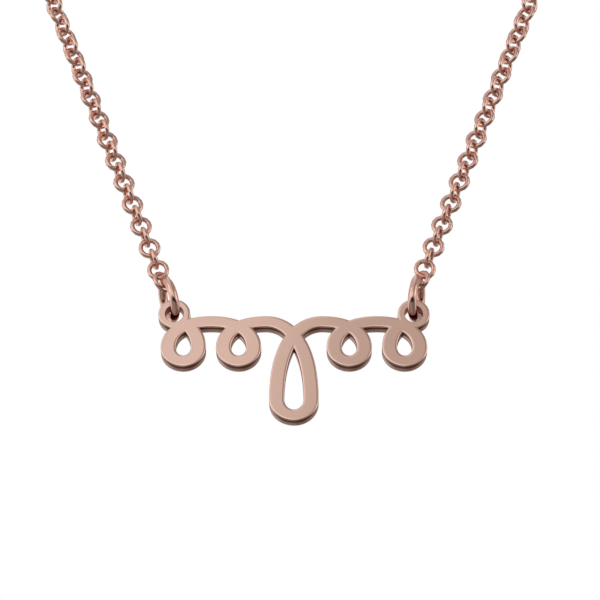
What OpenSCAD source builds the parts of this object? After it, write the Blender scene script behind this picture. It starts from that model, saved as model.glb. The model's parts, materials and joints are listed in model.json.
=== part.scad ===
// Nameplate necklace: a pierced plate with a looped ribbon pattern hangs by two jump rings
// from a round-link chain, as it does round a neck. The origin is the nape, where the clasp is.
// X is to the viewer's right, Y is away from the viewer and Z is up.

/* [Nameplate] */
// Distance between the centres of the two eyelets
eyelet_span = 23.9; // [22:0.1:34]
// Thickness of the plate, front to back
plate_t = 1.4; // [0.9:0.1:1.6]
// Outer diameter of each eyelet
eyelet_d = 3.2; // [2.9:0.1:4]
// Diameter of the hole in each eyelet
eyelet_hole_d = 1.8; // [1.7:0.05:2.1]
// Distance from the middle of the last loop out to the eyelet's centre
eyelet_offset = 0.95; // [0.7:0.05:1.2]
// Width of the ribbon where it runs up and down
broad_w = 1.5; // [1.1:0.05:1.6]
// Width of the ribbon where it runs level
thin_w = 1.25; // [0.9:0.05:1.4]
// Depth of the ribbon's crests below the eyelet centres
crest_drop = 0.85; // [0.6:0.05:1.2]
// Width of a short loop at the middle of its ribbon
short_loop_w = 3; // [2.6:0.1:3.3]
// Height of a short loop below the crests
short_loop_h = 4.3; // [3.8:0.1:6]
// Width of the long middle loop at the middle of its ribbon
long_loop_w = 3.4; // [2.8:0.1:4]
// Height of the long middle loop below the crests
long_loop_h = 10.1; // [7:0.1:14]

/* [Jump rings] */
// Outer diameter of each jump ring
ring_d = 4.7; // [4:0.1:6]
// Thickness of the jump rings' wire
ring_wire = 0.9; // [0.6:0.05:0.95]
// Free space between the wire and the top of the eyelet's hole
ring_play = 0.45; // [0.35:0.05:0.5]
// Outward lean of the left ring, in degrees
left_ring_lean = 18; // [10:1:24]
// Outward lean of the right ring, in degrees
right_ring_lean = 10; // [4:1:20]
// Turn of both rings' front edges towards the middle, in degrees
ring_turn = 12; // [0:1:16]

/* [Chain] */
// Outer diameter of the round links
link_d = 2.22; // [2:0.02:2.6]
// Thickness of the links' wire
link_wire = 0.45; // [0.36:0.01:0.46]
// Free space between a link and the ring that it hangs on
link_play = 0.12; // [0.1:0.01:0.15]
// Outward slant of the chain's straight front stretch, in degrees
chain_slant = 20.5; // [16:0.5:23]
// Length of the chain's straight front stretch on each side
front_run = 55; // [45:1:60]

/* [Loop] */
// Width of the loop where it is widest, at the middle of the chain
loop_width = 102; // [98:1:108]
// Depth of the loop, from the nape to the nameplate
loop_depth = 98; // [94:1:104]
// Drop of the eyelet centres below the nape
loop_drop = 111; // [106:1:120]

/* [Clasp] */
// Outer diameter of the clasp's ring
clasp_d = 5.5; // [5:0.1:7]
// Thickness of the clasp's ring
clasp_wire = 1.1; // [0.9:0.05:1.3]
// Outer diameter of the small eye on the clasp
eye_d = 2.4; // [2.2:0.1:3]
// Thickness of the eye's wire
eye_wire = 0.6; // [0.5:0.05:0.7]
// Outer diameter of the ring that the clasp closes on
end_ring_d = 3.6; // [3.4:0.1:5]
// Thickness of that ring's wire
end_ring_wire = 0.7; // [0.5:0.05:0.8]

/* [Hidden] */
rose_gold = [0.76, 0.53, 0.45];
LEFT = -1;
RIGHT = 1;

// Loops of the ribbon. The columns are the width and height at the middle of the ribbon, the
// share of the height at which the loop is widest, the share of its half width that rounds its
// foot, the share of the rise that its side keeps straight, the share of the crossing run that
// the crest keeps level, and the number of flats up the side.
WIDTH = 0;
HEIGHT = 1;
WIDEST = 2;
FOOT = 3;
SIDE = 4;
CREST = 5;
FLATS = 6;
SHORT_LOOP = [short_loop_w, short_loop_h, 0.65, 0.56, 0.62, 0.6, 22];
LONG_LOOP = [long_loop_w, long_loop_h, 0.83, 0.56, 0.8, 0.4, 32];
side_loops = 2;
foot_flats = 12;

// The last ribbon on each side ends inside its eyelet, a little past the eyelet's hole. Its end
// is counted as a share of the pitch past the middle of the last loop.
loop_pitch = (eyelet_span / 2 - eyelet_offset) / side_loops;
end_share = (eyelet_offset + 0.12 * eyelet_d) / loop_pitch;

// The rings' mean radii, and the height of the ring's wire above the centre of the eyelet's hole
ring_r = (ring_d - ring_wire) / 2;
link_hole_r = link_d / 2 - link_wire;
link_r = (link_d - link_wire) / 2;
clasp_r = (clasp_d - clasp_wire) / 2;
eye_r = (eye_d - eye_wire) / 2;
end_ring_r = (end_ring_d - end_ring_wire) / 2;
ring_bite = eyelet_hole_d / 2 - ring_wire / 2 - ring_play;

// Places along X of the clasp's eye, the ring that it closes on and the chain's last links
eye_x = -(clasp_r + clasp_wire / 2 + eye_r - eye_wire / 4);
eye_link_x = eye_x - eye_r + eye_wire / 2 + link_play - link_hole_r;
end_ring_x = clasp_r - clasp_wire / 2 - end_ring_wire / 2 - link_play + end_ring_r;
end_link_x = end_ring_x + end_ring_r - end_ring_wire / 2 - link_play + link_hole_r;

// The hidden stretch round the neck on the right side, from the shoulder to the nape, as shares of
// half the loop's width, of its depth and of its drop. The left side is its mirror image.
NECK_ROUTE = [[0.745, 0.969, 0.414], [0.843, 0.898, 0.315], [0.941, 0.765, 0.216], [1, 0.602, 0.135],
              [1, 0.429, 0.081], [0.902, 0.276, 0.045], [0.725, 0.143, 0.018], [0.49, 0.051, 0],
              [0.235, 0.01, 0]];

// Rings of the chain's tube on each side, its number of flats, and a point inside the loop that
// keeps the flats from twisting
tube_rings = 39;
tube_sides = 8;
loop_middle = [0, -loop_depth / 2, -loop_drop / 2];

// A point at share t of the way along a cubic curve
function cubic(a, b, c, d, t) =
    a * pow(1 - t, 3) + b * 3 * t * pow(1 - t, 2) + c * 3 * t * t * (1 - t) + d * pow(t, 3);

function curve(a, b, c, d, flats) = [for (i = [1 : flats]) cubic(a, b, c, d, i / flats)];

function loop_row(i) = i == 0 ? LONG_LOOP : SHORT_LOOP;

// The ribbon from the foot of loop i, up its left side and over to its right, where it ends
// level at this share of the pitch from the loop's middle. The first point of a path, and its
// last, only set the way the ribbon heads at its end.
function rise(i, share = 0.5) =
    let (row = loop_row(i), x = i * loop_pitch, half = row[WIDTH] / 2, foot = -row[HEIGHT],
         wide = foot * row[WIDEST], reach = loop_pitch * share, run = half + reach,
         round = curve([x, foot], [x - half * row[FOOT], foot],
                       [x - half, wide + (foot - wide) * row[FOOT]], [x - half, wide], foot_flats))
    concat(
        [[2 * x - round[0][0], round[0][1]], [x, foot]],
        round,
        curve([x - half, wide], [x - half, wide * (1 - row[SIDE])],
              [x + reach - run * row[CREST], 0], [x + reach, 0], row[FLATS]));

function reversed(list) = [for (i = [len(list) - 1 : -1 : 0]) list[i]];

function mirrored(list) = [for (p = list) [-p[0], p[1]]];

function after_first(list) = [for (i = [1 : len(list) - 1]) list[i]];

// From the crest on the right of loop i to the foot of the loop after it
function fall(i) = after_first(reversed(mirrored(rise(-i - 1))));

function unit(v) = v / norm(v);

function heading(path, i) = unit(path[min(i + 1, len(path) - 1)] - path[max(i - 1, 0)]);

// One edge of the ribbon: side is 1 on the left of the way it runs and -1 on the right
function edge(path, side) =
    [for (i = [1 : len(path) - 2])
        let (h = heading(path, i), w = thin_w + (broad_w - thin_w) * pow(h[1], 2))
        path[i] + side * w / 2 * [-h[1], h[0]]];

module ribbon(path) linear_extrude(plate_t, center = true)
    polygon(concat(edge(path, 1), reversed(edge(path, -1))));

// The last path ends with a point that only sets its heading, as the others do
module end_ribbon()
    ribbon(concat(rise(side_loops, end_share), [[(side_loops + 1) * loop_pitch, 0]]));

module nameplate() color(rose_gold)
    translate([0, -loop_depth, -loop_drop]) rotate([90, 0, 0]) difference() {
        union() {
            translate([0, -crest_drop, 0]) {
                for (i = [-side_loops : side_loops - 1]) ribbon(concat(rise(i), fall(i)));
                end_ribbon();
                mirror([1, 0, 0]) end_ribbon();
            }
            for (side = [LEFT, RIGHT]) translate([side * eyelet_span / 2, 0, 0])
                cylinder(d = eyelet_d, h = plate_t, center = true, $fn = 64);
        }
        for (side = [LEFT, RIGHT]) translate([side * eyelet_span / 2, 0, 0])
            cylinder(d = eyelet_hole_d, h = 2 * plate_t, center = true, $fn = 48);
    }

// A ring of round wire about the Z axis
module wire_ring(mean_r, wire) rotate_extrude($fn = 64) translate([mean_r, 0]) circle(d = wire, $fn = 32);

function ring_lean(side) = side == LEFT ? left_ring_lean : right_ring_lean;

function ring_up(side) = [side * sin(ring_lean(side)), 0, cos(ring_lean(side))];

function ring_centre(side) =
    [side * eyelet_span / 2, -loop_depth, -loop_drop] + (ring_bite + ring_r) * ring_up(side);

function chain_up(side) = [side * sin(chain_slant), 0, cos(chain_slant)];

// The last link's centre: its foot hangs inside the jump ring, link_play below the ring's wire
function last_link(side) =
    ring_centre(side) + ring_r * ring_up(side)
    + (link_hole_r - ring_wire / 2 - link_play) * chain_up(side);

module jump_ring(side) color(rose_gold)
    translate(ring_centre(side)) rotate([0, side * ring_lean(side), 0])
        rotate([0, 0, -side * ring_turn]) rotate([0, 90, 0]) wire_ring(ring_r, ring_wire);

module jump_ring_left() jump_ring(LEFT);

module jump_ring_right() jump_ring(RIGHT);

// Smooth curve through a list of points, at a place counted in points from the first
function through(points, place) =
    let (n = len(points) - 1, i = min(floor(place), n - 1), t = place - i,
         b = points[i], c = points[i + 1],
         a = i > 0 ? points[i - 1] : 2 * b - c,
         d = i < n - 1 ? points[i + 2] : 2 * c - b)
    (2 * b + (c - a) * t + (2 * a - 5 * b + 4 * c - d) * t * t
     + (3 * b - a - 3 * c + d) * pow(t, 3)) / 2;

function nape_link_x(side) = side == LEFT ? -eye_link_x : end_link_x;

// The chain's way, from inside its last link at the jump ring to inside its link at the nape
function route(side) =
    let (start = last_link(side), up = chain_up(side))
    concat(
        [for (share = [0, 1/3, 2/3, 1]) start + up * (link_r + (front_run - link_r) * share)],
        [for (p = NECK_ROUTE) [side * p[0] * loop_width / 2, -p[1] * loop_depth, -p[2] * loop_drop]],
        [[side * (nape_link_x(side) + link_r), 0, 0]]);

function tube_point(side, i) = through(route(side), i * (len(route(side)) - 1) / (tube_rings - 1));

function tube_corner(centre, along, out, i) =
    let (a = unit(out - (out * along) * along), b = cross(along, a), turn = (i + 0.5) * 360 / tube_sides)
    centre + link_d / 2 * (a * cos(turn) + b * sin(turn));

// The chain's links as one tube of their outer diameter
module chain_tube(side) {
    path = [for (i = [0 : tube_rings - 1]) tube_point(side, i)];
    corners = [for (i = [0 : tube_rings - 1]) for (k = [0 : tube_sides - 1])
        tube_corner(path[i], heading(path, i), path[i] - loop_middle, k)];
    walls = [for (i = [0 : tube_rings - 2]) for (k = [0 : tube_sides - 1])
        let (a = i * tube_sides + k, b = i * tube_sides + (k + 1) % tube_sides)
        each [[a, b + tube_sides, b], [a, a + tube_sides, b + tube_sides]]];
    start = [for (k = [0 : tube_sides - 1]) k];
    end = [for (k = [tube_sides - 1 : -1 : 0]) (tube_rings - 1) * tube_sides + k];
    polyhedron(corners, concat([start], walls, [end]));
}

module chain(side) color(rose_gold) {
    chain_tube(side);
    translate(last_link(side)) rotate([0, side * ring_lean(side), 0])
        rotate([0, 0, -side * ring_turn]) rotate([90, 0, 0]) wire_ring(link_r, link_wire);
    translate([side * nape_link_x(side), 0, 0]) rotate([side == LEFT ? 0 : 90, 0, 0])
        wire_ring(link_r, link_wire);
}

module chain_left() chain(LEFT);

module chain_right() chain(RIGHT);

module clasp() color(rose_gold) rotate([90, 0, 0]) {
    wire_ring(clasp_r, clasp_wire);
    translate([eye_x, 0, 0]) wire_ring(eye_r, eye_wire);
}

module clasp_ring() color(rose_gold) translate([end_ring_x, 0, 0]) wire_ring(end_ring_r, end_ring_wire);

nameplate();
jump_ring_left();
jump_ring_right();
chain_left();
chain_right();
clasp();
clasp_ring();
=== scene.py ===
import json
import math
import random
from bisect import bisect_right

import bmesh
import bpy
from bpy.props import FloatProperty, FloatVectorProperty, IntProperty, PointerProperty
from mathutils import Matrix, Vector

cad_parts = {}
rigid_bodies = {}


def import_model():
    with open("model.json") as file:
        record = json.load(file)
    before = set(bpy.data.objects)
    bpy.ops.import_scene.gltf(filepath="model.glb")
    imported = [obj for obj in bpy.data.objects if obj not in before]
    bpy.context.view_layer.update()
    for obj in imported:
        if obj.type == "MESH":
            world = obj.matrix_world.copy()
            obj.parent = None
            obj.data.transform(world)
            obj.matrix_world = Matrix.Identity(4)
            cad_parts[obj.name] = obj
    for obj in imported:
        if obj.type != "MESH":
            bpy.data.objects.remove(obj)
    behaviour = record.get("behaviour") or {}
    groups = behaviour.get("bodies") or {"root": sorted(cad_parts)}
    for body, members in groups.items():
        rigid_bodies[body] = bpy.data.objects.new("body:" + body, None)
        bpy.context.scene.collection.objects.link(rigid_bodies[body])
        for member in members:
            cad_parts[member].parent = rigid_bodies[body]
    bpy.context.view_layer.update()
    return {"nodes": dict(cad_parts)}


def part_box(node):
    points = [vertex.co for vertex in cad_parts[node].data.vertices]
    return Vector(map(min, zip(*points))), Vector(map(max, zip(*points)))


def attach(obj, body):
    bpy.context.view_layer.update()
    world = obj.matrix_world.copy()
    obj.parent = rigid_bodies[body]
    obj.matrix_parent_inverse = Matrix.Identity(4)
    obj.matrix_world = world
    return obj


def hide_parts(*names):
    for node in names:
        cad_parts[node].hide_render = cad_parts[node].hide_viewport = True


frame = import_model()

bl_info = {
    "name": "Nameplate Necklace",
    "version": (1, 0, 0),
    "blender": (4, 5, 0),
    "location": "View3D > Sidebar > Necklace",
    "description": "Dresses a nameplate necklace: chain links, jump rings, plate and stage",
    "category": "Object",
}

MM = 0.001
LEFT = -1
RIGHT = 1
SIDE_NAMES = {LEFT: "left", RIGHT: "right"}

# Points of a new mesh that lie closer than this are one point
MERGE = 0.002 * MM

# How far each jump ring leans outwards, and how far the front edges of both turn inwards, in
# degrees
RING_LEAN = {LEFT: 18.0, RIGHT: 10.0}
RING_TURN = 12.0

# The chain's front stretch slants outwards by this many degrees, and is straight for this many
# millimetres
CHAIN_SLANT = 20.5
FRONT_RUN = 55.0

# The hidden way round the right side of the neck, as in the part's source: shares of half the
# loop's width, of its depth and of its drop, those three lengths in millimetres, and the height
# of the eyelets' centres, which is the drop, in metres
NECK_ROUTE = (
    (0.745, 0.969, 0.414), (0.843, 0.898, 0.315), (0.941, 0.765, 0.216), (1, 0.602, 0.135),
    (1, 0.429, 0.081), (0.902, 0.276, 0.045), (0.725, 0.143, 0.018), (0.49, 0.051, 0),
    (0.235, 0.01, 0),
)
LOOP_SIZE = (51, -98, -111)
EYELET_Z = LOOP_SIZE[2] * MM


def centre(node):
    """Middle of a CAD node's box, in metres."""
    low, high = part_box(node)
    return (low + high) / 2


class PlateSizes(bpy.types.PropertyGroup):
    rim: FloatProperty(
        name="Rim", description="Width of the rounded rim round the plate's faces",
        default=0.22 * MM, min=0, unit="LENGTH")
    rim_depth: FloatProperty(
        name="Rim depth", description="Depth of the rounded rim down the plate's walls",
        default=0.11 * MM, min=0, unit="LENGTH")
    rim_steps: IntProperty(
        name="Rim steps", description="Facets across the rounded rim", default=5, min=1)


class RingSizes(bpy.types.PropertyGroup):
    wire: FloatProperty(
        name="Wire", description="Thickness of the jump rings' wire", default=0.9 * MM,
        unit="LENGTH")
    outer: FloatProperty(
        name="Outer diameter", description="Outer diameter of a jump ring", default=4.7 * MM,
        unit="LENGTH")
    seam: FloatProperty(
        name="Seam", description="Width of the rounded edge of each end of a jump ring",
        default=0.03 * MM, unit="LENGTH")


class ChainSizes(bpy.types.PropertyGroup):
    outer: FloatProperty(
        name="Link diameter", description="Outer diameter of a round link", default=2.22 * MM,
        unit="LENGTH")
    first_outer: FloatProperty(
        name="First link", description="Outer diameter of the link on a jump ring, which holds "
        "both the ring's wire and the next link", default=2.36 * MM, unit="LENGTH")
    wire: FloatProperty(
        name="Link wire", description="Thickness of the links' wire", default=0.45 * MM,
        unit="LENGTH")
    flats: IntProperty(name="Link flats", description="Flats round a link", default=14, min=6)
    sides: IntProperty(name="Wire sides", description="Sides of a link's wire", default=6, min=3)
    pitch: FloatProperty(
        name="Pitch", description="Distance from one link to the next", default=1.315 * MM,
        unit="LENGTH")
    twist: FloatProperty(
        name="Twist", description="Turn of the chain over its front stretch",
        default=math.radians(-42), subtype="ANGLE")
    shake: FloatProperty(
        name="Shake", description="Most that a link is turned at random",
        default=math.radians(3), subtype="ANGLE")
    seed: IntProperty(name="Seed", description="Seed of the random turns", default=7)


class Finish(bpy.types.PropertyGroup):
    plate: FloatVectorProperty(
        name="Plate", description="Rose gold of the plate's faces", subtype="COLOR", size=3,
        default=(0.79, 0.545, 0.452), min=0, max=1)
    # The walls' rose gold is darker than the faces' as painted shade
    wall: FloatVectorProperty(
        name="Wall", description="Rose gold of the plate's cut walls", subtype="COLOR", size=3,
        default=(0.47, 0.24, 0.17), min=0, max=1)
    wire: FloatVectorProperty(
        name="Wire", description="Rose gold of the rings and links", subtype="COLOR", size=3,
        default=(0.78, 0.475, 0.39), min=0, max=1)


class StageSizes(bpy.types.PropertyGroup):
    distance: FloatProperty(
        name="Camera distance", description="From the camera to the plate", default=0.3,
        unit="LENGTH")
    below: FloatProperty(
        name="Camera angle", description="How far the camera looks up", default=math.radians(25),
        subtype="ANGLE")
    lens: FloatProperty(name="Lens", description="Focal length in millimetres", default=180)
    floor_drop: FloatProperty(
        name="Floor drop", description="From the nape down to the floor", default=1.0,
        unit="LENGTH")


def new_object(name, bm, materials, body):
    """Turns a bmesh into a smooth piece that rides on a body."""
    mesh = bpy.data.meshes.new(name)
    bm.to_mesh(mesh)
    bm.free()
    for material in materials:
        mesh.materials.append(material)
    piece = bpy.data.objects.new(name, mesh)
    bpy.context.scene.collection.objects.link(piece)
    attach(piece, body)
    return piece


def smooth_below(piece, angle):
    """Shades a piece smooth, with sharp edges where its faces meet by more than an angle."""
    for polygon in piece.data.polygons:
        polygon.use_smooth = True
    piece.data.set_sharp_from_angle(angle=angle)


def closed_ring(mean_radius, wire, seam, around, across):
    """A ring of round wire about the Z axis, bent round until its two ends all but meet on the X
    axis, half a seam apart."""
    bm = bmesh.new()
    circle = bmesh.ops.create_circle(bm, cap_ends=False, radius=wire / 2, segments=across)
    end = math.asin(seam / 4 / mean_radius)
    upright = (Matrix.Rotation(end, 4, "Z") @ Matrix.Translation((mean_radius, 0, 0))
               @ Matrix.Rotation(math.radians(90), 4, "X"))
    bmesh.ops.transform(bm, matrix=upright, verts=circle["verts"])
    bmesh.ops.spin(
        bm, geom=bm.verts[:] + bm.edges[:], cent=(0, 0, 0), axis=(0, 0, 1),
        angle=math.tau - 2 * end, steps=around, use_merge=False, use_duplicate=False)
    ends = bmesh.ops.holes_fill(bm, edges=[e for e in bm.edges if e.is_boundary], sides=0)
    edges = [e for face in ends["faces"] for e in face.edges]
    bmesh.ops.bevel(
        bm, geom=edges, offset=seam, offset_type="OFFSET", segments=2, profile=0.5,
        affect="EDGES", clamp_overlap=True, material=-1)
    bmesh.ops.recalc_face_normals(bm, faces=bm.faces)
    return bm


# Materials

# Scale and detail of the cloudy tone, and of the polishing marks at a grain scale of one
CLOUD_SCALE = 420
CLOUD_DETAIL = 3
MARK_SCALE = 2600
MARK_DETAIL = 4


def group_input(group, name, kind, default):
    """Adds a named input to a node group."""
    socket = group.interface.new_socket(name, in_out="INPUT", socket_type=kind)
    socket.default_value = default


def feed(links, socket, value):
    """Gives a socket a plain value, or links another socket to it."""
    if isinstance(value, bpy.types.NodeSocket):
        links.new(value, socket)
    else:
        socket.default_value = value


def math_node(nodes, links, operation, a, b):
    """Result of a Math node that works on two values or sockets."""
    node = nodes.new("ShaderNodeMath")
    node.operation = operation
    feed(links, node.inputs[0], a)
    feed(links, node.inputs[1], b)
    return node.outputs[0]


def squared(nodes, links, value):
    """Square of what runs out of a socket."""
    return math_node(nodes, links, "MULTIPLY", value, value)


def tone_ramp(nodes, links, value, tones):
    """Colour that follows a value along a list of positions and colours."""
    ramp = nodes.new("ShaderNodeValToRGB")
    links.new(value, ramp.inputs["Fac"])
    stops = ramp.color_ramp.elements
    while len(stops) < len(tones):
        stops.new(0.5)
    for stop, (position, colour) in zip(stops, tones):
        stop.position = position
        stop.color = (*colour, 1)
    return ramp.outputs["Color"]


def multiplied(nodes, links, colour_in, factor, tone):
    """Multiplies what runs into a colour socket by a tone."""
    mix = nodes.new("ShaderNodeMix")
    mix.data_type = "RGBA"
    mix.blend_type = "MULTIPLY"
    links.new(colour_in.links[0].from_socket, mix.inputs["A"])
    feed(links, mix.inputs["Factor"], factor)
    feed(links, mix.inputs["B"], tone)
    links.new(mix.outputs["Result"], colour_in)


def handling_group():
    """Faint cloudy tone, polishing marks and hairline scratches on plated metal."""
    group = bpy.data.node_groups.new("handled_metal", "ShaderNodeTree")
    group_input(group, "Color", "NodeSocketColor", (0.8, 0.5, 0.4, 1))
    group_input(group, "Cloud", "NodeSocketFloat", 0.08)
    group_input(group, "Roughness", "NodeSocketFloat", 0.2)
    group_input(group, "Haze", "NodeSocketFloat", 0.06)
    group_input(group, "Grain Scale", "NodeSocketFloat", 1.0)
    group_input(group, "Stretch", "NodeSocketVector", (1.0, 1.0, 1.0))
    group.interface.new_socket("Color", in_out="OUTPUT", socket_type="NodeSocketColor")
    group.interface.new_socket("Roughness", in_out="OUTPUT", socket_type="NodeSocketFloat")
    group.interface.new_socket("Height", in_out="OUTPUT", socket_type="NodeSocketFloat")
    nodes, links = group.nodes, group.links
    given = nodes.new("NodeGroupInput")
    result = nodes.new("NodeGroupOutput")
    place = nodes.new("ShaderNodeTexCoord")

    cloud = nodes.new("ShaderNodeTexNoise")
    cloud.inputs["Scale"].default_value = CLOUD_SCALE
    cloud.inputs["Detail"].default_value = CLOUD_DETAIL
    links.new(place.outputs["Object"], cloud.inputs["Vector"])
    swing = math_node(nodes, links, "SUBTRACT", cloud.outputs["Fac"], 0.5)
    swing = math_node(nodes, links, "MULTIPLY", swing, given.outputs["Cloud"])
    value = math_node(nodes, links, "ADD", swing, 1.0)
    tone = nodes.new("ShaderNodeHueSaturation")
    links.new(given.outputs["Color"], tone.inputs["Color"])
    links.new(value, tone.inputs["Value"])
    links.new(tone.outputs["Color"], result.inputs["Color"])

    drawn = nodes.new("ShaderNodeVectorMath")
    drawn.operation = "MULTIPLY"
    links.new(place.outputs["Object"], drawn.inputs[0])
    links.new(given.outputs["Stretch"], drawn.inputs[1])
    scale = math_node(nodes, links, "MULTIPLY", given.outputs["Grain Scale"], MARK_SCALE)
    marks = nodes.new("ShaderNodeTexNoise")
    marks.inputs["Detail"].default_value = MARK_DETAIL
    links.new(drawn.outputs[0], marks.inputs["Vector"])
    links.new(scale, marks.inputs["Scale"])
    haze = math_node(nodes, links, "SUBTRACT", marks.outputs["Fac"], 0.5)
    haze = math_node(nodes, links, "MULTIPLY", haze, given.outputs["Haze"])
    rough = math_node(nodes, links, "ADD", haze, given.outputs["Roughness"])
    links.new(rough, result.inputs["Roughness"])
    links.new(marks.outputs["Fac"], result.inputs["Height"])
    return group


def metal(name, colour, roughness, cloud, haze, grain, stretch, bump_mm):
    """A rose gold finish: its tone, gloss and fine relief come from the shared group."""
    material = bpy.data.materials.new(name)
    material.use_nodes = True
    nodes, links = material.node_tree.nodes, material.node_tree.links
    shader = nodes["Principled BSDF"]
    shader.inputs["Metallic"].default_value = 1
    handled = nodes.new("ShaderNodeGroup")
    handled.node_tree = bpy.data.node_groups.get("handled_metal") or handling_group()
    handled.inputs["Color"].default_value = (*colour, 1)
    handled.inputs["Cloud"].default_value = cloud
    handled.inputs["Roughness"].default_value = roughness
    handled.inputs["Haze"].default_value = haze
    handled.inputs["Grain Scale"].default_value = grain
    handled.inputs["Stretch"].default_value = stretch
    relief = nodes.new("ShaderNodeBump")
    relief.inputs["Strength"].default_value = 1
    relief.inputs["Distance"].default_value = bump_mm * MM
    links.new(handled.outputs["Height"], relief.inputs["Height"])
    links.new(relief.outputs["Normal"], shader.inputs["Normal"])
    links.new(handled.outputs["Color"], shader.inputs["Base Color"])
    links.new(handled.outputs["Roughness"], shader.inputs["Roughness"])
    return material


def wire_metal():
    """The polished rose gold of rings, links and clasp, made once."""
    finish = bpy.context.scene.necklace_finish
    made = bpy.data.materials.get("polished_rose_gold")
    return made or metal(
        "polished_rose_gold", finish.wire, roughness=0.16, cloud=0.10, haze=0.10, grain=1.4,
        stretch=(1, 1, 1), bump_mm=0.0012)


# Nameplate

# Share of Y in the normal of the plate's front and back, of those with their rim, which have the
# faces' finish, and of what is flat
FRONT_BACK = 0.9
FACE_AND_RIM = 0.35
FLAT = 0.999

# Faces that meet by less than the first angle are joined, and by more than the second are sharp
EVEN_BELOW = math.radians(0.5)
PLATE_SHARP = math.radians(32)

# The eyelets' holes: their distance from the middle and their radius in millimetres, the share of
# the plate's rim that is left round them, and the tone of the shade inside them
EYELET_OUT = 11.95
HOLE_RADIUS = 0.9
HOLE_RIM = 0.3
HOLE_SHADE = (0.5, 0.22, 0.16)

# Shares of the rim and of a hole's radius within which a point belongs to the hole
RIM_REACH = 1.05
SHADE_REACH = 1.15

# Painted shade on a cut wall by depth from the plate's front: a dark line under the rim, then a
# light one, then darker again towards the back
PAINTED_WALL_SHADE = (
    (0.0, (1.0, 1.0, 1.0)), (0.07, (1.0, 1.0, 1.0)), (0.13, (0.24, 0.11, 0.08)),
    (0.30, (0.32, 0.18, 0.14)), (0.42, (1.0, 1.0, 1.0)), (0.58, (0.95, 0.92, 0.9)),
    (0.72, (0.62, 0.55, 0.52)), (1.0, (0.72, 0.68, 0.66)),
)


def in_holes(nodes, links, split):
    """One inside the eyelets' holes and nought elsewhere."""
    out = math_node(nodes, links, "ABSOLUTE", split.outputs["X"], 0)
    out = math_node(nodes, links, "SUBTRACT", out, EYELET_OUT * MM)
    up = math_node(nodes, links, "SUBTRACT", split.outputs["Z"], EYELET_Z)
    away = math_node(nodes, links, "ADD", squared(nodes, links, out), squared(nodes, links, up))
    return math_node(nodes, links, "LESS_THAN", away, (HOLE_RADIUS * SHADE_REACH * MM) ** 2)


def shaded_cut_metal(colour):
    """The plate's cut walls: marks of the cut, and painted shade at the same depth all round."""
    material = metal(
        "cut_rose_gold_wall_painted_shade", colour, roughness=0.3, cloud=0.25, haze=0.15, grain=1.0,
        stretch=(1, 0.06, 1), bump_mm=0.004)
    nodes, links = material.node_tree.nodes, material.node_tree.links
    low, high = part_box("nameplate")
    place = nodes.new("ShaderNodeTexCoord")
    split = nodes.new("ShaderNodeSeparateXYZ")
    links.new(place.outputs["Object"], split.inputs[0])
    depth = math_node(nodes, links, "SUBTRACT", split.outputs["Y"], low.y)
    depth = math_node(nodes, links, "DIVIDE", depth, high.y - low.y)
    colour_in = nodes["Principled BSDF"].inputs["Base Color"]
    # Painted shade by depth: a dark line under the rim and darker towards the back
    multiplied(nodes, links, colour_in, 1, tone_ramp(nodes, links, depth, PAINTED_WALL_SHADE))
    # Painted shade inside the eyelets' holes
    multiplied(nodes, links, colour_in, in_holes(nodes, links, split), (*HOLE_SHADE, 1))
    return material


def round_rim(bm, facing, rim, depth, steps):
    """Rounds the border between the walls and the front or the back of the plate."""
    region = [f for f in bm.faces if f.normal.y * facing > FRONT_BACK]
    inset = 0.0
    for k in range(steps):
        turn = math.radians(90 * (k + 1) / steps)
        reach = rim * (1 - math.cos(turn))
        band = bmesh.ops.inset_region(
            bm, faces=region, thickness=reach - inset, use_boundary=True, use_even_offset=True)
        inner = {v for f in region for v in f.verts}
        outer = {v for f in band["faces"] for v in f.verts} - inner
        back = depth * (1 - math.sin(math.radians(90 * k / steps)))
        bmesh.ops.translate(bm, vec=(0, -facing * back, 0), verts=list(outer))
        inset = reach


def tighten_holes(bm, rim):
    """Narrows the rim round the eyelets' holes, which have crisp edges."""
    for side in SIDE_NAMES:
        middle = Vector((side * EYELET_OUT * MM, 0, EYELET_Z))
        for vert in bm.verts:
            out = Vector((vert.co.x - middle.x, 0, vert.co.z - middle.z))
            past = out.length - HOLE_RADIUS * MM
            if 0 < past < rim * RIM_REACH:
                vert.co -= out.normalized() * past * (1 - HOLE_RIM)


def mark_sharp(bm, angle):
    """Marks the edges where faces meet by more than an angle, and the borders of flat faces."""
    for edge in bm.edges:
        flat = [abs(face.normal.y) > FLAT for face in edge.link_faces]
        edge.smooth = edge.calc_face_angle(0) < angle and all(flat) == any(flat)


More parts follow.
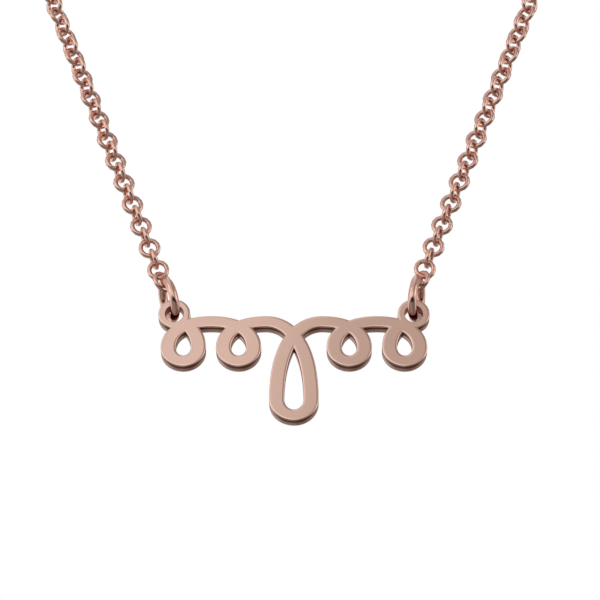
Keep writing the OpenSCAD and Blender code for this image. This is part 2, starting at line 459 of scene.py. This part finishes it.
class NECKLACE_OT_nameplate(bpy.types.Operator):
    """Give the pierced plate its rounded rim, its face and wall finishes, and painted shade on
    its walls
    """

    bl_idname = "necklace.nameplate"
    bl_label = "Nameplate"

    def execute(self, context):
        sizes = context.scene.necklace_plate
        finish = context.scene.necklace_finish
        bm = bmesh.new()
        bm.from_mesh(frame["nodes"]["nameplate"].data)
        bmesh.ops.remove_doubles(bm, verts=bm.verts, dist=MERGE)
        bmesh.ops.dissolve_limit(
            bm, angle_limit=EVEN_BELOW, use_dissolve_boundaries=False, verts=bm.verts,
            edges=bm.edges, delimit=set())
        for facing in (-1, 1):
            round_rim(bm, facing, sizes.rim, sizes.rim_depth, sizes.rim_steps)
        tighten_holes(bm, sizes.rim)
        bmesh.ops.triangulate(bm, faces=[f for f in bm.faces if len(f.verts) > 4])
        bm.normal_update()
        for face in bm.faces:
            face.material_index = 0 if abs(face.normal.y) > FACE_AND_RIM else 1
            face.smooth = True
        mark_sharp(bm, PLATE_SHARP)
        face_metal = metal(
            "satin_rose_gold_face", finish.plate, roughness=0.18, cloud=0.05, haze=0.05,
            grain=0.5, stretch=(0.25, 1, 1), bump_mm=0.0008)
        piece = new_object("nameplate_body", bm, [face_metal, shaded_cut_metal(finish.wall)], "pendant")
        even = piece.modifiers.new("even_walls", "WEIGHTED_NORMAL")
        even.keep_sharp = True
        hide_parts("nameplate")
        return {"FINISHED"}


# Jump rings

# Where a ring's ends meet, in degrees up its back from its foot
SEAM_AT = 88.0

# Flats round a ring and round its wire, and the least angle of its sharp edges
RING_FLATS = 96
RING_SIDES = 24
RING_SHARP = math.radians(40)


def ring_turned(side):
    """Rotation that a jump ring's lean and turn give to what lies in its plane."""
    lean = Matrix.Rotation(math.radians(side * RING_LEAN[side]), 4, "Y")
    turn = Matrix.Rotation(math.radians(-side * RING_TURN), 4, "Z")
    return lean @ turn


class NECKLACE_OT_jump_rings(bpy.types.Operator):
    """Make the two jump rings, each with its closed joint at the back"""

    bl_idname = "necklace.jump_rings"
    bl_label = "Jump rings"

    def execute(self, context):
        sizes = context.scene.necklace_rings
        for side, name in SIDE_NAMES.items():
            node = "jump_ring_" + name
            mean = (sizes.outer - sizes.wire) / 2
            bm = closed_ring(mean, sizes.wire, sizes.seam, RING_FLATS, RING_SIDES)
            place = (Matrix.Translation(centre(node)) @ ring_turned(side)
                     @ Matrix.Rotation(math.radians(90), 4, "Y")
                     @ Matrix.Rotation(math.radians(SEAM_AT), 4, "Z"))
            bmesh.ops.transform(bm, matrix=place, verts=bm.verts)
            piece = new_object(node + "_wire", bm, [wire_metal()], "chain")
            smooth_below(piece, RING_SHARP)
            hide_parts(node)
        return {"FINISHED"}


# Chain

# Free space in millimetres between a link's wire and the jump ring's, and between it and the wire
# of the clasp's eye or ring, and the thickness of those two wires
RING_LINK_PLAY = 0.065
LINK_PLAY = 0.12
EYE_WIRE = 0.6
END_RING_WIRE = 0.7

# How the first links by the jump ring are turned about the chain, in degrees from face-on
FIRST_TURNS = (-40.0, 3.0)

# Links over which the front stretch twists, and the power of their number that the twist follows
TWIST_LINKS = 26
TWIST_POWER = 0.85

# Steps of the curve from each point of the route to the next, and the least angle of a sharp edge
CURVE_STEPS = 40
LINK_SHARP = math.radians(65)


def fair_radius(radius, sides):
    """Radius of the polygon's corners that gives it the area of a circle."""
    return radius * math.sqrt(math.tau / sides / math.sin(math.tau / sides))


def round_link(chain, outer):
    """A round link of round wire about the Z axis, with corners where its neighbours touch it."""
    bm = bmesh.new()
    circle = bmesh.ops.create_circle(
        bm, cap_ends=False, radius=fair_radius(chain.wire / 2, chain.sides), segments=chain.sides)
    reach = fair_radius((outer - chain.wire) / 2, chain.flats)
    place = (Matrix.Translation((0, reach, 0)) @ Matrix.Rotation(math.radians(90), 4, "Y")
             @ Matrix.Rotation(math.radians(90), 4, "Z"))
    bmesh.ops.transform(bm, matrix=place, verts=circle["verts"])
    bmesh.ops.spin(
        bm, geom=bm.verts[:] + bm.edges[:], cent=(0, 0, 0), axis=(0, 0, 1),
        angle=math.tau, steps=chain.flats, use_merge=True, use_duplicate=False)
    bmesh.ops.remove_doubles(bm, verts=bm.verts, dist=MERGE)
    bmesh.ops.recalc_face_normals(bm, faces=bm.faces)
    return bm


def chain_up(side):
    """The way up along the chain's straight front stretch."""
    slant = math.radians(CHAIN_SLANT)
    return Vector((side * math.sin(slant), 0, math.cos(slant)))


def last_link(side, chain, rings):
    """Centre of the link that hangs on a jump ring."""
    mean = (rings.outer - rings.wire) / 2
    lean = math.radians(RING_LEAN[side])
    ring_up = Vector((side * math.sin(lean), 0, math.cos(lean)))
    drop = chain.first_outer / 2 - chain.wire - rings.wire / 2 - RING_LINK_PLAY * MM
    return centre("jump_ring_" + SIDE_NAMES[side]) + mean * ring_up + drop * chain_up(side)


def nape_link(side, chain):
    """Centre of the link at the nape, on the clasp's eye or on the clasp's ring."""
    reach = chain.outer / 2 - chain.wire - LINK_PLAY * MM
    if side == LEFT:
        return Vector((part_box("clasp")[0].x + EYE_WIRE * MM - reach, 0, 0))
    return Vector((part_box("clasp_ring")[1].x - END_RING_WIRE * MM + reach, 0, 0))


def route(side, chain, rings):
    """Points that the chain runs through, from its link on the jump ring to the nape."""
    mean = (chain.outer - chain.wire) / 2
    start = last_link(side, chain, rings)
    up = chain_up(side)
    run = FRONT_RUN * MM - mean
    front = [start] + [start + up * (mean + run * share) for share in (0, 1 / 3, 2 / 3, 1)]
    wide, deep, drop = (length * MM for length in LOOP_SIZE)
    neck = [Vector((side * x * wide, y * deep, z * drop)) for x, y, z in NECK_ROUTE]
    return front, neck + [nape_link(side, chain)]


def smooth_curve(points, steps):
    """Even steps of the smooth curve through a list of points, as in the part's source."""
    count = len(points) - 1
    curve = []
    for i in range(count):
        b, c = points[i], points[i + 1]
        a = points[i - 1] if i > 0 else 2 * b - c
        d = points[i + 2] if i < count - 1 else 2 * c - b
        for k in range(steps):
            t = k / steps
            curve.append((2 * b + (c - a) * t + (2 * a - 5 * b + 4 * c - d) * t * t
                          + (3 * b - a - 3 * c + d) * t ** 3) / 2)
    return curve + [points[-1]]


class Way:
    """The chain's curve with its length, heading and an untwisted side vector along it."""

    def __init__(self, points):
        self.points = points
        self.lengths = [0.0]
        for a, b in zip(points, points[1:]):
            self.lengths.append(self.lengths[-1] + (b - a).length)
        self.length = self.lengths[-1]
        heading = (points[1] - points[0]).normalized()
        side = Vector((0, 1, 0))
        side = (side - heading * side.dot(heading)).normalized()
        self.sides = [side]
        for a, b in zip(points[1:], points[2:] + [2 * points[-1] - points[-2]]):
            onward = (b - a).normalized()
            side = heading.rotation_difference(onward) @ side
            side = (side - onward * side.dot(onward)).normalized()
            self.sides.append(side)
            heading = onward

    def at(self, length):
        """Place, heading and side vector at a length along the curve."""
        length = min(max(length, 0.0), self.length)
        high = bisect_right(self.lengths, length, 1, len(self.lengths) - 1)
        low = high - 1
        share = (length - self.lengths[low]) / (self.lengths[high] - self.lengths[low])
        place = self.points[low].lerp(self.points[high], share)
        heading = (self.points[high] - self.points[low]).normalized()
        side = self.sides[low].lerp(self.sides[high], share)
        side = (side - heading * side.dot(heading)).normalized()
        return place, heading, side


def turned_about(heading, side, angle):
    """A side vector turned about the chain's heading."""
    return Matrix.Rotation(angle, 3, heading) @ side


def nape_turn(way, side):
    """Turn that brings the last link square to the ring that it hangs on."""
    _, heading, start = way.at(way.length)
    wanted = Vector((0, 0, 1)) if side == LEFT else Vector((0, 1, 0))
    wanted = (wanted - heading * wanted.dot(heading)).normalized()
    return math.atan2(heading.dot(start.cross(wanted)), start.dot(wanted))


def link_turns(count, way, side, chain):
    """Turn of each link's axis about the chain, from the way it faces at the jump ring."""
    rng = random.Random(chain.seed + side)
    half = math.pi / 2
    turns = []
    for k in range(count):
        base = math.radians(FIRST_TURNS[k] if k < len(FIRST_TURNS) else 90 * ((k + 1) % 2))
        grow = min(k / TWIST_LINKS, 1) ** TWIST_POWER
        shake = rng.uniform(-chain.shake, chain.shake)
        turns.append(side * (base + chain.twist * grow) + shake)
    last = nape_turn(way, side)
    gap = (last - turns[-1] + half) % math.pi - half
    for k in range(TWIST_LINKS, count):
        turns[k] += gap * (k - TWIST_LINKS) / (count - 1 - TWIST_LINKS)
    return turns


class NECKLACE_OT_chain(bpy.types.Operator):
    """Link the round-link chain on both sides, from the jump rings to the nape"""

    bl_idname = "necklace.chain"
    bl_label = "Chain"

    def execute(self, context):
        chain = context.scene.necklace_chain
        rings = context.scene.necklace_rings
        links = []
        for outer in (chain.first_outer, chain.outer):
            links.append(bpy.data.meshes.new("round_link"))
            bm = round_link(chain, outer)
            bm.to_mesh(links[-1])
            bm.free()

        # All links but the first lie further along, by as much as its radius is larger
        extra = (chain.first_outer - chain.outer) / 2
        for side, name in SIDE_NAMES.items():
            front, neck = route(side, chain, rings)
            way = Way([front[0]] + smooth_curve(front[1:] + neck, CURVE_STEPS))
            count = round(way.length / chain.pitch) + 1
            turns = link_turns(count, way, side, chain)
            bm = bmesh.new()
            for k in range(count):
                onward = extra * min(k, 1) + (way.length - extra) * k / (count - 1)
                place, heading, out = way.at(onward)
                axis = turned_about(heading, out, turns[k])
                cross = axis.cross(heading)
                turned = Matrix((cross, heading, axis)).transposed().to_4x4()
                first = len(bm.verts)
                bm.from_mesh(links[min(k, 1)])
                bm.verts.ensure_lookup_table()
                bmesh.ops.transform(
                    bm, matrix=Matrix.Translation(place) @ turned, verts=bm.verts[first:])
            piece = new_object("chain_links_" + name, bm, [wire_metal()], "chain")
            smooth_below(piece, LINK_SHARP)
            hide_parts("chain_" + name)
        for link in links:
            bpy.data.meshes.remove(link)
        return {"FINISHED"}


# Clasp

class NECKLACE_OT_clasp(bpy.types.Operator):
    """Finish the plain clasp at the nape and the ring that it closes on"""

    bl_idname = "necklace.clasp"
    bl_label = "Clasp"

    def execute(self, context):
        for name in ("clasp", "clasp_ring"):
            node = frame["nodes"][name]
            node.data.materials.clear()
            node.data.materials.append(wire_metal())
        return {"FINISHED"}


# Stage

# How far the camera's aim lies to the right of the plate's middle and below its top, and the
# nearest that the camera sees, in metres
AIM_RIGHT = 0.6 * MM
AIM_DROP = 0.1 * MM
CLIP_START = 0.01

# Half the floor's width in metres, its tone, its roughness and the strength of its own light
FLOOR_HALF = 40
FLOOR_TONE = (0.9, 0.9, 0.9, 1)
FLOOR_ROUGHNESS = 0.9
FLOOR_GLOW = 0.3

# Area lights: name, place from the plate's middle in metres, width and height, and power
LIGHTS = (
    ("key", (-0.35, -0.22, 0.2), (0.2, 0.3), 0.12),
    ("near", (-0.042, -0.09, 0.042), (0.09, 0.09), 0.0055),
    ("fill", (0.38, -0.2, 0.12), (0.15, 0.3), 0.14),
)


def area_light(name, place, aim, size, power):
    """Sets up a soft light that the camera doesn't see."""
    data = bpy.data.lights.new(name, "AREA")
    data.shape = "RECTANGLE"
    data.size, data.size_y = size
    data.energy = power
    light = bpy.data.objects.new(name, data)
    light.location = place
    light.rotation_euler = (aim - place).to_track_quat("-Z", "Y").to_euler()
    light.visible_camera = False
    bpy.context.scene.collection.objects.link(light)


# Light of the studio by height, from straight down to straight up
STUDIO_LIGHT = (
    (0.0, 0.42), (0.18, 0.40), (0.30, 0.36), (0.37, 0.55), (0.43, 1.15), (0.57, 1.15),
    (0.68, 0.72), (0.85, 0.76), (1.0, 1.0),
)

# Colour of that light by place from the left to the right
STUDIO_SIDES = (
    (0.0, (0.92, 0.92, 0.92)), (0.22, (0.88, 0.88, 0.88)), (0.36, (0.70, 0.70, 0.70)),
    (0.46, (0.95, 0.95, 0.95)), (0.5, (0.94, 0.91, 0.90)), (0.56, (0.62, 0.53, 0.48)),
    (0.66, (0.46, 0.40, 0.37)), (0.8, (0.55, 0.53, 0.52)), (1.0, (0.8, 0.8, 0.8)),
)


# The dark place round the camera: its half height and half width as parts of a direction, the
# squares of the distances between which it fades, counted in those, the square that is far off,
# and what is left of the light in the dark place
DARK_HALF_HEIGHT = 0.20
DARK_HALF_WIDTH = 0.75
DARK_EDGE = (0.4, 1.3)
FAR_OFF = 9
DARK_LEFT = 0.05


def studio_world(below):
    """White to the camera; to the metal a studio, light above and dim below and to the right,
    with a dark place round the camera."""
    world = bpy.data.worlds.new("studio")
    bpy.context.scene.world = world
    world.use_nodes = True
    nodes, links = world.node_tree.nodes, world.node_tree.links
    nodes.clear()
    out = nodes.new("ShaderNodeOutputWorld")
    white = nodes.new("ShaderNodeBackground")
    white.inputs["Color"].default_value = (1, 1, 1, 1)
    studio = nodes.new("ShaderNodeBackground")
    mix = nodes.new("ShaderNodeMixShader")
    path = nodes.new("ShaderNodeLightPath")
    place = nodes.new("ShaderNodeTexCoord")
    split = nodes.new("ShaderNodeSeparateXYZ")
    links.new(place.outputs["Generated"], split.inputs[0])
    height = math_node(nodes, links, "MULTIPLY", split.outputs["Z"], 0.5)
    height = math_node(nodes, links, "ADD", height, 0.5)
    grey = [(position, (level, level, level)) for position, level in STUDIO_LIGHT]
    levels = tone_ramp(nodes, links, height, grey)
    across = math_node(nodes, links, "MULTIPLY", split.outputs["X"], 0.5)
    across = math_node(nodes, links, "ADD", across, 0.5)
    links.new(levels, studio.inputs["Color"])
    multiplied(nodes, links, studio.inputs["Color"], 1,
               tone_ramp(nodes, links, across, STUDIO_SIDES))

    # How far a direction is from the middle of the dark place, squared. A direction behind the
    # plate counts as far off.
    level_off = math_node(nodes, links, "ADD", split.outputs["Z"], math.sin(below))
    level_off = math_node(nodes, links, "DIVIDE", level_off, DARK_HALF_HEIGHT)
    side_off = math_node(nodes, links, "DIVIDE", split.outputs["X"], DARK_HALF_WIDTH)
    off = math_node(nodes, links, "ADD", squared(nodes, links, level_off),
                    squared(nodes, links, side_off))
    behind = math_node(nodes, links, "GREATER_THAN", split.outputs["Y"], 0)
    behind = math_node(nodes, links, "MULTIPLY", behind, FAR_OFF)
    off = math_node(nodes, links, "ADD", off, behind)
    dark = nodes.new("ShaderNodeMapRange")
    dark.interpolation_type = "SMOOTHSTEP"
    links.new(off, dark.inputs["Value"])
    dark.inputs["From Min"].default_value, dark.inputs["From Max"].default_value = DARK_EDGE
    dark.inputs["To Min"].default_value = DARK_LEFT

    links.new(dark.outputs["Result"], studio.inputs["Strength"])
    links.new(path.outputs["Is Camera Ray"], mix.inputs["Fac"])
    links.new(studio.outputs[0], mix.inputs[1])
    links.new(white.outputs[0], mix.inputs[2])
    links.new(mix.outputs[0], out.inputs["Surface"])


class NECKLACE_OT_stage(bpy.types.Operator):
    """Set the camera, the pale floor and the soft studio light"""

    bl_idname = "necklace.stage"
    bl_label = "Stage"

    def execute(self, context):
        sizes = context.scene.necklace_stage
        low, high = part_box("nameplate")
        aim = Vector((AIM_RIGHT, low.y, high.z - AIM_DROP))
        back = Vector((0, -math.cos(sizes.below), -math.sin(sizes.below)))
        data = bpy.data.cameras.new("camera")
        data.lens = sizes.lens
        data.clip_start = CLIP_START
        camera = bpy.data.objects.new("camera", data)
        camera.location = aim + back * sizes.distance
        camera.rotation_euler = (-back).to_track_quat("-Z", "Y").to_euler()
        context.scene.collection.objects.link(camera)
        context.scene.camera = camera
        context.scene.view_settings.view_transform = "Standard"

        bm = bmesh.new()
        bmesh.ops.create_grid(bm, x_segments=1, y_segments=1, size=FLOOR_HALF)
        bmesh.ops.translate(bm, vec=(0, 0, -sizes.floor_drop), verts=bm.verts)
        mesh = bpy.data.meshes.new("floor")
        bm.to_mesh(mesh)
        bm.free()
        material = bpy.data.materials.new("pale_floor")
        material.use_nodes = True
        shader = material.node_tree.nodes["Principled BSDF"]
        shader.inputs["Base Color"].default_value = FLOOR_TONE
        shader.inputs["Roughness"].default_value = FLOOR_ROUGHNESS
        shader.inputs["Emission Color"].default_value = (1, 1, 1, 1)
        shader.inputs["Emission Strength"].default_value = FLOOR_GLOW
        mesh.materials.append(material)
        floor = bpy.data.objects.new("floor", mesh)
        floor.visible_glossy = False
        context.scene.collection.objects.link(floor)

        studio_world(sizes.below)
        plate = centre("nameplate")
        for name, away, size, power in LIGHTS:
            area_light(name, plate + Vector(away), plate, size, power)
        return {"FINISHED"}


class NECKLACE_PT_panel(bpy.types.Panel):
    """Lists the necklace's sizes, finishes and pieces"""

    bl_idname = "NECKLACE_PT_panel"
    bl_label = "Nameplate Necklace"
    bl_space_type = "VIEW_3D"
    bl_region_type = "UI"
    bl_category = "Necklace"

    def draw(self, context):
        for name in GROUPS:
            group = getattr(context.scene, name)
            box = self.layout.box()
            for prop in group.__annotations__:
                box.prop(group, prop)
        for operator in OPERATORS:
            self.layout.operator(operator.bl_idname)


GROUPS = {
    "necklace_plate": PlateSizes,
    "necklace_rings": RingSizes,
    "necklace_chain": ChainSizes,
    "necklace_finish": Finish,
    "necklace_stage": StageSizes,
}
OPERATORS = (
    NECKLACE_OT_stage, NECKLACE_OT_nameplate, NECKLACE_OT_jump_rings, NECKLACE_OT_chain,
    NECKLACE_OT_clasp,
)


def register():
    for cls in (*GROUPS.values(), *OPERATORS, NECKLACE_PT_panel):
        bpy.utils.register_class(cls)
    for name, cls in GROUPS.items():
        setattr(bpy.types.Scene, name, PointerProperty(type=cls))


def unregister():
    for name in GROUPS:
        delattr(bpy.types.Scene, name)
    for cls in reversed((*GROUPS.values(), *OPERATORS, NECKLACE_PT_panel)):
        bpy.utils.unregister_class(cls)


def main():
    register()
    for spare in [o for o in bpy.data.objects if o.name in ("Cube", "Light", "Camera")]:
        bpy.data.objects.remove(spare)
    bpy.ops.necklace.stage()
    bpy.ops.necklace.nameplate()
    bpy.ops.necklace.jump_rings()
    bpy.ops.necklace.chain()
    bpy.ops.necklace.clasp()


if __name__ == "__main__":
    main()
